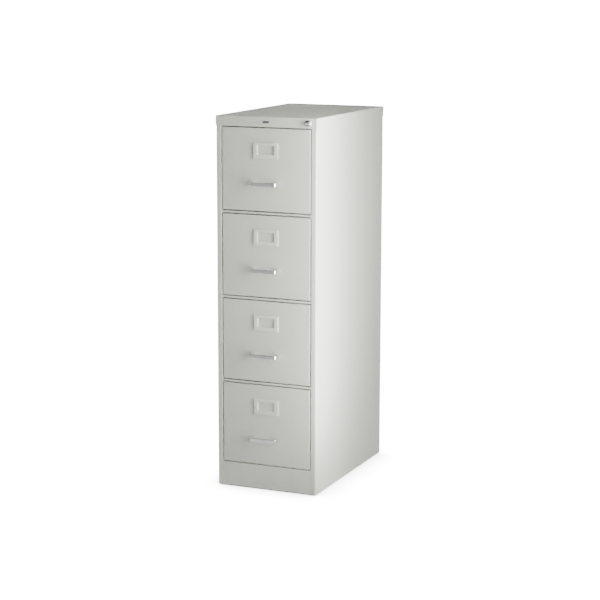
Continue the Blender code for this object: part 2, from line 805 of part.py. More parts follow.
def make_lock_bar():
    """Lock bar behind the right stile, with a tooth for each drawer and a ramp for the plunger."""
    bar = block(
        "lock_bar",
        (BAR_INNER, BAR_FRONT_Y, BAR_BOTTOM),
        (BAR_OUTER, BAR_REAR_Y, BAR_TOP),
        ZINC,
    )
    tooth_tip = TRAY_HALF + TOOTH_TIP_FROM_TRAY
    for number in range(1, DRAWERS + 1):
        tooth_top = front_bottom(number) + STRIKE_RISE - TOOTH_DROP
        tooth = block(
            f"tooth_{number}",
            (tooth_tip, BAR_FRONT_Y, tooth_top - TOOTH_HEIGHT),
            (BAR_INNER + BAR_WIDTH / 2, BAR_REAR_Y, tooth_top),
            None,
            collection=CUTTERS,
        )
        join(bar, tooth)
    arm = block(
        "bar_arm",
        (LOCK_X - BAR_RAMP_HALF_WIDTH, BAR_FRONT_Y, BAR_TOP - BAR_ARM_DEPTH),
        (BAR_INNER + BAR_WIDTH / 2, BAR_REAR_Y, BAR_TOP),
        None,
        collection=CUTTERS,
    )
    join(bar, arm)
    join(bar, make_ramp())
    put_at(bar, (BAR_INNER + BAR_WIDTH / 2, BAR_FRONT_Y, BAR_BOTTOM))


def make_ramp():
    """Wedge whose sloping underside rises as the plunger's nose passes below it."""
    ramp = block(
        "bar_ramp",
        (LOCK_X - BAR_RAMP_HALF_WIDTH, NOSE_REAR_Y - SEAM, LOCK_Z),
        (LOCK_X + BAR_RAMP_HALF_WIDTH, BAR_FRONT_Y + BAR_THICKNESS / 2, BAR_TOP),
        None,
        collection=CUTTERS,
    )
    for vertex in ramp.data.vertices:
        if vertex.co.z < BAR_TOP - SEAM:
            rise = BAR_LIFT_RATIO * (vertex.co.y - NOSE_REAR_Y)
            vertex.co.z = LOCK_Z + NOSE_RADIUS + BAR_RAMP_GAP - rise
    return ramp


make_sides()
make_case_back()
make_top_cap()
make_rails()
make_base()
make_badge()
for drawer_number in range(1, DRAWERS + 1):
    make_drawer(drawer_number)
make_lock_cylinder()
make_lock_bar()
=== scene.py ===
"""Looks of a four-drawer, letter-width filing cabinet, built around its fixed frame.

Each piece is modelled at its place in the frame and rides on the body that carries it. Most pieces
stand for the frame node that they detail, and the lock bar stays as the frame gives it. Lengths are
in metres.
"""

import json
import math

import bmesh
import bpy
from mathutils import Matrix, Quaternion, Vector


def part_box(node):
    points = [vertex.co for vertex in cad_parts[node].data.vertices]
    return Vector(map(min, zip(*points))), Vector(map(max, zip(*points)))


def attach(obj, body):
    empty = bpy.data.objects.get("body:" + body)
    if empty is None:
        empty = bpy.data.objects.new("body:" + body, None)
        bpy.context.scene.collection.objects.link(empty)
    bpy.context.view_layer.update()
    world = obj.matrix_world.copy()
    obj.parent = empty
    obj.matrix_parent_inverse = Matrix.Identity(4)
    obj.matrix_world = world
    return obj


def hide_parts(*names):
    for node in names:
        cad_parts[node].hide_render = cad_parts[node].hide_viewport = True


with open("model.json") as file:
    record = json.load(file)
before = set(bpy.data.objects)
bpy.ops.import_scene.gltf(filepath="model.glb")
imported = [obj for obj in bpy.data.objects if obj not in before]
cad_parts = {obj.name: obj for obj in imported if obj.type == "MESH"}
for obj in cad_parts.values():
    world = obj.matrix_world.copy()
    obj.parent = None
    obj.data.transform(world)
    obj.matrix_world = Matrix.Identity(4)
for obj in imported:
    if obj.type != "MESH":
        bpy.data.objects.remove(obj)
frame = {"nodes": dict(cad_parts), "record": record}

MM = 0.001
DRAWERS = (1, 2, 3, 4)
SIDES = (("left", -1), ("right", 1))

# ---------------------------------------------------------------- sheet work
SHEET = 1.0 * MM
TRAY_SHEET = 0.8 * MM
FOLLOWER_SHEET = 1.5 * MM
SEAM = 0.3 * MM
FOLD_STEPS = 4
CUT_EDGE = 0.2 * MM
FOLD_RADIUS = 1.3 * MM
HOLE_CUTTER_LENGTH = 12 * MM

# ---------------------------------------------------------------- case
FRONT_CORNER_RADIUS = 4.5 * MM
REAR_CORNER_RADIUS = 2.5 * MM
STILE_RETURN = 14 * MM
STILE_LIP = 6 * MM
REAR_FLANGE = 14 * MM
CAP_EDGE_RADIUS = 1.6 * MM
TOE_RETURN = 14 * MM
BACK_BEAD_X = 92 * MM
BACK_BEAD_HALF = 9 * MM
BACK_BEAD_END = 90 * MM
BACK_BEAD_DEPTH = 3.5 * MM
BACK_BEAD_SLOPE = 4.55 * MM
WELD_COUNT = 14
WELD_RISE = 0.25 * MM
WELD_SINK = 0.02 * MM
WELD_END = 60 * MM
WELD_FROM_EDGE = 8 * MM
PLATE_CORNER = 1.6 * MM
PLATE_RIM = 0.35 * MM
PLATE_FIELD_SLOPE = 0.2 * MM
PLATE_FIELD_DEPTH = 0.3 * MM

# ---------------------------------------------------------------- glides and slides
GLIDE_STEM_RADIUS = 4 * MM
GLIDE_HOLE_PLAY = 0.5 * MM
THREAD_PITCH = 1.25 * MM
THREAD_DEPTH = 0.55 * MM
THREAD_FOOT = 13 * MM
THREAD_TIP = 1.6 * MM
CHANNEL_HOLES = 5
CHANNEL_HOLE_START = 40 * MM
CHANNEL_HOLE_PITCH = 118 * MM
CHANNEL_HOLE_LENGTH = 22 * MM
CHANNEL_HOLE_HALF = 4 * MM
GROOVE_HALF = 5 * MM
GROOVE_END = 12 * MM
GROOVE_SLOPE = 1.6 * MM
GROOVE_DEPTH = 0.8 * MM
CAGE_FRONT_Y = 45 * MM
CAGE_BALLS = 7
CAGE_PITCH = 32 * MM
CAGE_INSET = 4.6 * MM
CAGE_HALF = 2.1 * MM
CAGE_LEAD = 8 * MM
CAGE_HALF_SHEET = 0.25 * MM
CAGE_CORNER = 1.4 * MM
BALL_PLAY = 0.25 * MM

# ---------------------------------------------------------------- drawers
FRONT_EDGE_RADIUS = 1.3 * MM
TRAY_RISE = 11 * MM
TRAY_HEM_DROP = 29.5 * MM
TRAY_TO_SLIDE = 1 * MM
RUNNER_TO_SLIDE = 3 * MM
RUNNER_HALF = 12.5 * MM
CREASE_RADIUS = 1.5 * MM
BOTTOM_FOLD_RADIUS = 3 * MM
TRAY_FOLD_STEPS = 4
TRAY_CUT_EDGE = 0.1 * MM
HEM_WIDTH = 5 * MM
HEM_DEPTH = 10 * MM
SLOT_START = 110 * MM
SLOT_HALF = 7 * MM
SLOT_WIDTH = 3.5 * MM
SLOT_PITCH = 18 * MM
SLOT_COUNT = 22
LINER_CORNER = 2.5 * MM
LINER_RIM = 26 * MM
LINER_SLOPE = 1.2 * MM
LINER_PRESS = 0.6 * MM
STRIKE_TO_TOOTH = 2 * MM
STRIKE_RISE = 149 * MM
STRIKE_WIDTH = 10.5 * MM
STRIKE_HEIGHT = 14 * MM
STRIKE_THICKNESS = 3 * MM
STRIKE_CORNER = 3 * MM
BACK_RIM_X = 24 * MM
BACK_RIM_Z = 26 * MM
BACK_SLOPE = 1.6 * MM
BACK_PRESS = 0.9 * MM
PULL_BEND = 9 * MM
PULL_THICKNESS = 5 * MM
PULL_EDGE = 2.4 * MM
HOLDER_EDGE = 0.8 * MM
WINDOW_WIDTH = 62 * MM
WINDOW_HEIGHT = 33 * MM
WINDOW_RAISE = 2 * MM
FOLLOWER_FOOT = 60 * MM
FOLLOWER_LEAN = 18 * MM
FOLLOWER_CURL = 8 * MM
FOLLOWER_CUT_EDGE = 0.25 * MM
RIB_X = 62 * MM
RIB_HALF = 7 * MM
RIB_RISE = 18 * MM
RIB_DROP = 22 * MM
RIB_SLOPE = 2.2 * MM
RIB_DEPTH = 1.4 * MM
GRIP_HALF = 26 * MM
GRIP_DROP = 34 * MM
GRIP_HEIGHT = 16 * MM

# ---------------------------------------------------------------- lock
LOCK_FLANGE_THICKNESS = 2.5 * MM
LOCK_BARREL_RADIUS = 9.5 * MM
SLEEVE_TAIL = 23.5 * MM
SLEEVE_PIN_RADIUS = 5 * MM
CORE_DEPTH = 10 * MM
CORE_DISH_RADIUS = 2.9 * MM
KEYWAY_HALF_WIDTH = 0.8 * MM
KEYWAY_HALF_HEIGHT = 3 * MM
KEYWAY_DEPTH = 6 * MM

# ---------------------------------------------------------------- shading and closeness
SMOOTH_ANGLE = math.radians(38)
TOUCHING = 0.01 * MM

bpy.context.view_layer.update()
bpy.ops.object.select_all(action="DESELECT")


# ---------------------------------------------------------------- modelling by hand, in code
def start_piece(name):
    """The primitive that was just added becomes a piece, with its place in its mesh, open for editing."""
    bpy.ops.object.transform_apply(location=True, rotation=True, scale=True)
    piece = bpy.context.object
    piece.name = name
    piece.data.name = name
    bpy.ops.object.mode_set(mode="EDIT")
    bpy.ops.mesh.select_mode(type="VERT")
    return piece


def close_piece():
    bpy.ops.object.mode_set(mode="OBJECT")
    return bpy.context.object


def select_only(*pieces):
    bpy.ops.object.select_all(action="DESELECT")
    for piece in pieces:
        piece.select_set(True)
    bpy.context.view_layer.objects.active = pieces[0]


def pick(kind, test):
    """Selects what passes the test, given its middle and, for a face, its normal."""
    mesh = bpy.context.object.data
    bpy.ops.mesh.select_mode(type=kind)
    bpy.ops.mesh.select_all(action="DESELECT")
    bm = bmesh.from_edit_mesh(mesh)
    if kind == "FACE":
        for face in bm.faces:
            face.select_set(bool(test(face.calc_center_median(), face.normal)))
    elif kind == "EDGE":
        for edge in bm.edges:
            edge.select_set(bool(test((edge.verts[0].co + edge.verts[1].co) / 2, edge)))
    else:
        for vertex in bm.verts:
            vertex.select_set(bool(test(vertex.co, vertex)))
    bm.select_flush_mode()
    bmesh.update_edit_mesh(mesh)


def at(value, place):
    return abs(value - place) < TOUCHING


def cut_across(axis, places, test=lambda place, normal: True):
    """Cuts the faces that pass the test across an axis, at each of the places."""
    for place in places:
        pick("FACE", test)
        point = [0.0, 0.0, 0.0]
        point[axis] = place
        across = [0.0, 0.0, 0.0]
        across[axis] = 1.0
        bpy.ops.mesh.bisect(plane_co=point, plane_no=across)


def press(slope, shift):
    """Presses the picked faces in or out, with a sloping wall round them."""
    bpy.ops.mesh.inset(thickness=slope)
    bpy.ops.transform.translate(value=shift)


def use_modifier(piece, kind, **settings):
    """Adds a modifier, sets it and applies it."""
    select_only(piece)
    modifier = piece.modifiers.new(kind.lower(), kind)
    for name, value in settings.items():
        setattr(modifier, name, value)
    bpy.ops.object.modifier_apply(modifier=modifier.name)
    return piece


def thicken(piece, thickness, offset=-1.0):
    return use_modifier(
        piece, "SOLIDIFY", thickness=thickness, offset=offset, use_even_offset=True
    )


def ease_edges(piece, width, segments=1, angle=50):
    """Rounds a piece's sharp edges."""
    return use_modifier(
        piece, "BEVEL",
        width=width, segments=segments, limit_method="ANGLE", angle_limit=math.radians(angle),
    )


def runs_along(line, axis):
    """Whether an edge goes some way along an axis."""
    return abs(line.verts[0].co[axis] - line.verts[1].co[axis]) > TOUCHING


def cut_with(piece, cutter):
    use_modifier(piece, "BOOLEAN", operation="DIFFERENCE", solver="EXACT", object=cutter)
    bpy.data.objects.remove(cutter, do_unlink=True)
    return piece


def join_all(pieces, name):
    """Makes one piece of several, and gives it a name."""
    select_only(*pieces)
    bpy.ops.object.join()
    whole = bpy.context.object
    whole.name = name
    return whole


def copied(piece, name, shift=(0, 0, 0)):
    """A copy with its own mesh, moved by a shift that goes into the mesh."""
    select_only(piece)
    bpy.ops.object.duplicate(linked=False)
    copy = bpy.context.object
    copy.name = name
    copy.location = shift
    bpy.ops.object.transform_apply(location=True, rotation=True, scale=True)
    return copy


def settle(piece, body, material, stands_for=()):
    """Shades a finished piece, paints it and puts it on the body that carries it."""
    select_only(piece)
    bpy.ops.object.shade_smooth_by_angle(angle=SMOOTH_ANGLE)
    use_modifier(piece, "WEIGHTED_NORMAL", keep_sharp=True)
    piece.data.materials.clear()
    piece.data.materials.append(material)
    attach(piece, body)
    if stands_for:
        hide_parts(*stands_for)
    piece.select_set(False)
    return piece


def settle_on_each(piece, name, body, material, like=None):
    """Settles the top drawer's piece and a copy of it for each drawer below."""
    first = Vector(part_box((like or name).format(1))[0])
    copies = [piece]
    for number in DRAWERS[1:]:
        shift = Vector(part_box((like or name).format(number))[0]) - first
        copies.append(copied(piece, piece.name, shift))
    for number, copy in zip(DRAWERS, copies):
        own = name.format(number)
        stands_for = [] if like else [own]
        copy.name = own if like else f"{own}_detail"
        settle(copy, body.format(number), material, stands_for)


# ---------------------------------------------------------------- shapes
def along(axis, u, v, w):
    """A point from two outline coordinates and a distance along the axis of the fold lines."""
    return {"X": (w, u, v), "Y": (u, w, v), "Z": (u, v, w)}[axis]


def mirrored(outline):
    return [(-u, v) for u, v in reversed(outline)]


def fold_sheet(
    name, axis, outline, radii, low, high, thickness, steps=FOLD_STEPS, edge=CUT_EDGE, shape=None
):
    """Sheet folded leg by leg along an outline, its metal left of it; shape presses and punches it."""
    if not isinstance(radii, (list, tuple)):
        radii = [radii] * (len(outline) - 2)
    bpy.ops.mesh.primitive_plane_add(size=1)
    piece = start_piece(name)
    pick("VERT", lambda place, vertex: place.x > 0)
    bpy.ops.mesh.delete(type="VERT")
    bm = bmesh.from_edit_mesh(piece.data)
    for vertex in bm.verts:
        end = high if vertex.co.y > 0 else low
        vertex.co = along(axis, *outline[0], end)
    bmesh.update_edit_mesh(piece.data)
    bpy.ops.mesh.select_mode(type="EDGE")
    bpy.ops.mesh.select_all(action="SELECT")
    for here, there in zip(outline, outline[1:]):
        leg = along(axis, there[0] - here[0], there[1] - here[1], 0.0)
        bpy.ops.mesh.extrude_region_move(TRANSFORM_OT_translate={"value": leg})
    bpy.ops.mesh.select_all(action="SELECT")
    bpy.ops.mesh.normals_make_consistent(inside=False)

    bm = bmesh.from_edit_mesh(piece.data)
    run = Vector(outline[1]) - Vector(outline[0])
    metal_side = Vector(along(axis, -run.y, run.x, 0.0))
    middle = Vector(along(axis, *((Vector(outline[0]) + Vector(outline[1])) / 2), (low + high) / 2))
    first = min(bm.faces, key=lambda face: (face.calc_center_median() - middle).length)
    offset = 1.0 if first.normal.dot(metal_side) > 0 else -1.0

    for before, corner, after, radius in zip(outline, outline[1:], outline[2:], radii):
        inward = Vector(before) - Vector(corner)
        onward = Vector(after) - Vector(corner)
        turn = math.pi - inward.angle(onward)
        spot = Vector(along(axis, *corner, 0.0))
        keep = Vector(along(axis, 1.0, 1.0, 0.0))
        pick("EDGE", lambda place, line: ((place - spot) * keep).length < TOUCHING)
        bpy.ops.mesh.bevel(
            offset=radius * math.tan(turn / 2), offset_type="OFFSET", segments=steps, affect="EDGES"
        )
    if shape is not None:
        shape()
    close_piece()
    thicken(piece, thickness, offset)
    if edge > 0:
        ease_edges(piece, edge, 1, 60)
    return piece


def box_piece(name, low, high):
    """A box between two corners, open for editing."""
    low, high = Vector(low), Vector(high)
    bpy.ops.mesh.primitive_cube_add(size=1, location=(low + high) / 2, scale=high - low)
    return start_piece(name)


def open_pan(name, low, high, axis, side, radius, steps, thickness):
    """A sheet box without its face on one side, its outer edges rounded by a radius."""
    piece = box_piece(name, low, high)
    pick("FACE", lambda place, normal: normal[axis] * side > 0.9)
    bpy.ops.mesh.delete(type="FACE")
    rim = high[axis] if side > 0 else low[axis]
    pick("EDGE", lambda place, line: not at(place[axis], rim))
    bpy.ops.mesh.bevel(offset=radius, offset_type="OFFSET", segments=steps, affect="EDGES")
    close_piece()
    return thicken(piece, thickness)


def turn_piece(name, profile, centre, sides=48, facing_front=False, ring=False):
    """A piece turned from a profile of (radius, height), ring by ring. A ring is open along its axis."""
    radius, height = profile[0]
    bpy.ops.mesh.primitive_circle_add(vertices=sides, radius=radius, location=(0, 0, height))
    piece = start_piece(name)
    bpy.ops.mesh.select_all(action="SELECT")
    if not ring:
        bpy.ops.mesh.edge_face_add()
    for next_radius, next_height in profile[1:]:
        bpy.ops.mesh.extrude_region_move(
            TRANSFORM_OT_translate={"value": (0, 0, next_height - height)}
        )
        grow = next_radius / radius
        bpy.ops.transform.resize(value=(grow, grow, 1))
        radius, height = next_radius, next_height
    if ring:
        first, last = profile[0], profile[-1]

        def on_end(place, vertex):
            reach = place.xy.length
            return any(at(reach, r) and at(place.z, h) for r, h in (first, last))

        pick("VERT", on_end)
        bpy.ops.mesh.bridge_edge_loops()
    bpy.ops.mesh.select_all(action="SELECT")
    bpy.ops.mesh.normals_make_consistent(inside=False)
    close_piece()
    piece.location = centre
    if facing_front:
        piece.rotation_euler = (math.radians(90), 0, 0)
    select_only(piece)
    bpy.ops.object.transform_apply(location=True, rotation=True, scale=True)
    return piece


def rod(name, centre, radius, length, facing_front=False):
    profile = [(radius, -length / 2), (radius, length / 2)]
    return turn_piece(name, profile, centre, 32, facing_front)


def cut_lock_hole(piece, name, front_y):
    """Cuts the hole for the lock's barrel through a piece of the header."""
    low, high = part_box("lock_housing")
    middle = (low + high) / 2
    middle.y = front_y
    cut_with(piece, rod(name, middle, LOCK_BARREL_RADIUS + SEAM, HOLE_CUTTER_LENGTH, True))


# ---------------------------------------------------------------- materials
def new_surface(name, colour, roughness, metallic):
    material = bpy.data.materials.new(name)
    material.use_nodes = True
    tree = material.node_tree
    shader = tree.nodes["Principled BSDF"]
    shader.inputs["Base Color"].default_value = (*colour, 1)
    shader.inputs["Roughness"].default_value = roughness
    shader.inputs["Metallic"].default_value = metallic
    return material, tree, shader


def noise(tree, scale, detail=2.0, stretch=(1, 1, 1), seed=0.0):
    """Noise on the piece's own place in the cabinet, stretched along an axis where asked."""
    place = tree.nodes.new("ShaderNodeTexCoord")
    mapping = tree.nodes.new("ShaderNodeMapping")
    mapping.inputs["Scale"].default_value = stretch
    mapping.inputs["Location"].default_value = (seed, seed, seed)
    texture = tree.nodes.new("ShaderNodeTexNoise")
    texture.inputs["Scale"].default_value = scale
    texture.inputs["Detail"].default_value = detail
    tree.links.new(place.outputs["Object"], mapping.inputs["Vector"])
    tree.links.new(mapping.outputs["Vector"], texture.inputs["Vector"])
    return texture.outputs["Fac"]


def spread(tree, value, low, high, dark=0.3, light=0.7):
    """Maps a noise value onto a range."""
    node = tree.nodes.new("ShaderNodeMapRange")
    node.inputs["From Min"].default_value = dark
    node.inputs["From Max"].default_value = light
    node.inputs["To Min"].default_value = low
    node.inputs["To Max"].default_value = high
    tree.links.new(value, node.inputs["Value"])
    return node.outputs["Result"]


def blend_colour(tree, factor, first, second):
    node = tree.nodes.new("ShaderNodeMix")
    node.data_type = "RGBA"
    tree.links.new(factor, node.inputs["Factor"])
    for socket, colour in ((node.inputs["A"], first), (node.inputs["B"], second)):
        if isinstance(colour, bpy.types.NodeSocket):
            tree.links.new(colour, socket)
        else:
            socket.default_value = (*colour, 1)
    return node.outputs["Result"]


def bump(tree, height, distance, strength, under=None):
    node = tree.nodes.new("ShaderNodeBump")
    node.inputs["Distance"].default_value = distance
    node.inputs["Strength"].default_value = strength
    tree.links.new(height, node.inputs["Height"])
    if under is not None:
        tree.links.new(under, node.inputs["Normal"])
    return node.outputs["Normal"]


def reckon(tree, operation, *values):
    """A sum on sockets and numbers, in their order."""
    node = tree.nodes.new("ShaderNodeMath")
    node.operation = operation
    for socket, value in zip(node.inputs, values):
        if isinstance(value, bpy.types.NodeSocket):
            tree.links.new(value, socket)
        else:
            socket.default_value = value
    return node.outputs["Value"]


def shade_of(colour, share):
    return tuple(channel * share for channel in colour)


def make_enamel(name, share=1.0):
    """Baked light grey enamel: a fine orange peel over sheet that is never dead flat."""
    # share scales the whole grey; above one it paints a highlight into the colour.
    grey = shade_of((0.60, 0.613, 0.548), share)
    material, tree, shader = new_surface(name, grey, 0.40, 0.0)
    patches = spread(tree, noise(tree, 2.6, 2.0), 0.0, 1.0)
    specks = spread(tree, noise(tree, 420, 1.0, seed=3.0), 0.0, 1.0)
    tone = blend_colour(tree, patches, shade_of(grey, 0.965), shade_of(grey, 1.015))
    faint_specks = reckon(tree, "MULTIPLY", specks, 0.06)
    speckled = blend_colour(tree, faint_specks, tone, shade_of(grey, 0.7))
    tree.links.new(speckled, shader.inputs["Base Color"])
    tree.links.new(spread(tree, noise(tree, 17, 3.0), 0.34, 0.46), shader.inputs["Roughness"])
    waves = bump(tree, noise(tree, 4.5, 0.0, seed=1.0), 1.2 * MM, 0.35)
    peel = bump(tree, noise(tree, 650, 1.0), 0.06 * MM, 0.8, waves)
    tree.links.new(peel, shader.inputs["Normal"])
    shader.inputs["Coat Weight"].default_value = 0.2
    shader.inputs["Coat Roughness"].default_value = 0.16
    return material


def make_chrome():
    """Bright plating with faint wiping marks."""
    material, tree, shader = new_surface("chrome_plate", (0.80, 0.80, 0.81), 0.1, 1.0)
    wiped = noise(tree, 60, 4.0, (1, 1, 3))
    cloud = spread(tree, noise(tree, 35, 3.0), 0.0, 1.0)
    tone = blend_colour(tree, cloud, (0.74, 0.74, 0.75), (0.84, 0.84, 0.85))
    tree.links.new(spread(tree, wiped, 0.07, 0.17), shader.inputs["Roughness"])
    tree.links.new(tone, shader.inputs["Base Color"])
    tree.links.new(bump(tree, noise(tree, 240, 2.0), 0.02 * MM, 0.4), shader.inputs["Normal"])
    return material


def make_zinc():
    """Zinc-plated strip, rolled along its length, a little cloudy."""
    material, tree, shader = new_surface("zinc_plated_steel", (0.6, 0.61, 0.62), 0.35, 1.0)
    rolled = noise(tree, 90, 3.0, (8, 0.35, 8))
    cloud = spread(tree, noise(tree, 22, 3.0, seed=5.0), 0.0, 1.0)
    tone = blend_colour(tree, cloud, (0.50, 0.51, 0.51), (0.66, 0.66, 0.67))
    streaked = blend_colour(tree, spread(tree, rolled, 0.0, 0.5), tone, (0.72, 0.73, 0.74))
    tree.links.new(streaked, shader.inputs["Base Color"])
    tree.links.new(spread(tree, rolled, 0.28, 0.46), shader.inputs["Roughness"])
    tree.links.new(bump(tree, rolled, 0.05 * MM, 0.3), shader.inputs["Normal"])
    return material


def make_plastic():
    """Black moulded plastic with a fine spark-eroded grain."""
    black = (0.028, 0.028, 0.029)
    material, tree, shader = new_surface("black_plastic", black, 0.5, 0.0)
    grain = noise(tree, 1400, 1.0)
    cloud = spread(tree, noise(tree, 90), 0.0, 1.0)
    tone = blend_colour(tree, cloud, black, (0.05, 0.05, 0.052))
    tree.links.new(tone, shader.inputs["Base Color"])
    tree.links.new(spread(tree, grain, 0.42, 0.6), shader.inputs["Roughness"])
    tree.links.new(bump(tree, grain, 0.05 * MM, 0.5), shader.inputs["Normal"])
    return material


def make_plate_face():
    """Dark satin face of the blank header plate, brushed from side to side."""
    dark = (0.19, 0.19, 0.19)
    material, tree, shader = new_surface("dark_satin_plate", dark, 0.4, 1.0)
    lines = noise(tree, 300, 2.0, (0.1, 1, 6))
    brushed = spread(tree, lines, 0.0, 1.0)
    tone = blend_colour(tree, brushed, shade_of(dark, 0.8), shade_of(dark, 1.4))
    tree.links.new(tone, shader.inputs["Base Color"])
    tree.links.new(spread(tree, lines, 0.3, 0.5), shader.inputs["Roughness"])
    return material


ENAMEL = make_enamel("light_grey_enamel")
# The label holder's enamel is the drawer's enamel lightened by 14%: a painted highlight for the light its
# raised frame catches.
HOLDER_ENAMEL_PAINTED_LIGHTER = make_enamel("holder_enamel_painted_highlight", 1.14)
CHROME = make_chrome()
ZINC = make_zinc()
PLASTIC = make_plastic()
PLATE_FACE = make_plate_face()
FINISHES = {
    "enamel": ENAMEL,
    "chrome": CHROME,
    "zinc_steel": ZINC,
    "glide_plastic": PLASTIC,
}


def paint_frame():
    """Gives every frame node the finish of its slot, the lock bar's in sight among them."""
    for part in frame["record"]["subparts"]:
        node = frame["nodes"][part["node"]]
        node.data.materials.clear()
        node.data.materials.append(FINISHES[part["material_slot"]])


# ---------------------------------------------------------------- case
def make_case_sides():
    """Side panels, each folded from one sheet with its front stile and its rear flange."""
    low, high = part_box("case_side_right")
    corners = [
        (low.x + STILE_LIP, low.y + STILE_RETURN),
        (low.x, low.y + STILE_RETURN),
        (low.x, low.y),
        (high.x, low.y),
        (high.x, high.y),
        (high.x - REAR_FLANGE, high.y),
    ]
    radii = [FOLD_RADIUS, FOLD_RADIUS, FRONT_CORNER_RADIUS, REAR_CORNER_RADIUS]
    for side, sign in SIDES:
        name = f"case_side_{side}"
        outline = corners if sign > 0 else mirrored(corners)
        curves = radii if sign > 0 else radii[::-1]
        panel = fold_sheet(f"{name}_panel", "Z", outline, curves, low.z, high.z, SHEET, 6)
        settle(panel, "case", ENAMEL, [name])


def make_top_cover():
    """Top cover: a pan turned down all round, its front skirt the header, with the lock's hole."""
    low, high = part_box("top_cap")
    cover = open_pan("top_cover", low, high, 2, -1, CAP_EDGE_RADIUS, 5, SHEET)
    cut_lock_hole(cover, "lock_hole", low.y)
    ease_edges(cover, CUT_EDGE, 2, 60)
    settle(cover, "case", ENAMEL, ["top_cap"])


def make_back_panel():
    """Back panel: flanged top and bottom, with two pressed beads."""
    low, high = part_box("case_back")
    corners = [(low.y, low.z), (high.y, low.z), (high.y, high.z), (low.y, high.z)]

    def press_beads():
        for side in (-1, 1):
            cut_across(0, [side * BACK_BEAD_X - BACK_BEAD_HALF, side * BACK_BEAD_X + BACK_BEAD_HALF])
        cut_across(2, [low.z + BACK_BEAD_END, high.z - BACK_BEAD_END])
        pick(
            "FACE",
            lambda place, normal: at(place.y, high.y)
            and abs(abs(place.x) - BACK_BEAD_X) < BACK_BEAD_HALF
            and low.z + BACK_BEAD_END < place.z < high.z - BACK_BEAD_END,
        )
        press(BACK_BEAD_SLOPE, (0, -BACK_BEAD_DEPTH, 0))

    panel = fold_sheet(
        "back_panel", "X", corners, FOLD_RADIUS, low.x, high.x, SHEET, shape=press_beads
    )
    settle(panel, "case", ENAMEL, ["case_back"])
    make_spot_welds()


def make_spot_welds():
    """Shallow spot-weld marks down the rear flanges of both sides."""
    low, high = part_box("case_side_right")
    profile = [(3.2 * MM, 0), (2.9 * MM, WELD_RISE), (1.9 * MM, WELD_RISE), (1.5 * MM, WELD_RISE / 4)]
    first = turn_piece("weld", profile, (0, 0, 0), 14, facing_front=True)
    first.rotation_euler = (0, 0, math.pi)
    bpy.ops.object.transform_apply(location=True, rotation=True, scale=True)
    pitch = (high.z - low.z - 2 * WELD_END) / (WELD_COUNT - 1)
    welds = []
    for step in range(WELD_COUNT):
        for sign in (-1, 1):
            place = (
                sign * (high.x - WELD_FROM_EDGE), high.y - WELD_SINK, low.z + WELD_END + step * pitch
            )
            welds.append(copied(first, "weld_copy", place))
    bpy.data.objects.remove(first, do_unlink=True)
    settle(join_all(welds, "spot_welds"), "case", ENAMEL)


def make_rails():
    """Rails between the drawers, the toe plate below them and the rail behind the header."""
    for number in DRAWERS[:-1]:
        name = f"divider_rail_{number}"
        low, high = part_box(name)
        corners = [(high.y, high.z), (low.y, high.z), (low.y, low.z), (high.y, low.z)]
        rail = fold_sheet(f"{name}_channel", "X", corners, FOLD_RADIUS, low.x, high.x, SHEET, 5)
        settle(rail, "case", ENAMEL, [name])

    low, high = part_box("toe_panel")
    corners = [
        (high.y, high.z), (low.y, high.z), (low.y, low.z), (low.y + TOE_RETURN, low.z),
    ]
    toe = fold_sheet("toe_plate", "X", corners, FOLD_RADIUS, low.x, high.x, SHEET, 6)
    settle(toe, "case", ENAMEL, ["toe_panel"])

    low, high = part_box("top_rail")
    corners = [(low.y, high.z), (low.y, low.z), (high.y, low.z)]
    rail = fold_sheet("header_rail", "X", corners, FOLD_RADIUS, low.x, high.x, SHEET, 5)
    cut_lock_hole(rail, "rail_lock_hole", low.y)
    settle(rail, "case", ENAMEL, ["top_rail"])


def make_base():
    """Shelves along the bottom of both sides, with the holes that the glides screw into."""
    for side, sign in SIDES:
        name = f"base_shelf_{side}"
        low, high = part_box(name)
        inner, outer = (low.x, high.x) if sign > 0 else (high.x, low.x)
        corners = [(inner, low.z), (outer, low.z), (outer, high.z)]
        if sign < 0:
            corners.reverse()
        shelf = fold_sheet(f"{name}_angle", "Y", corners, FOLD_RADIUS, low.y, high.y, SHEET)
        for end in ("front", "rear"):
            glide_low, glide_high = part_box(f"glide_{end}_{side}")
            middle = (glide_low + glide_high) / 2
            middle.z = low.z
            hole_radius = GLIDE_STEM_RADIUS + GLIDE_HOLE_PLAY
            cut_with(shelf, rod("glide_hole", middle, hole_radius, HOLE_CUTTER_LENGTH))
        settle(shelf, "case", ZINC, [name])


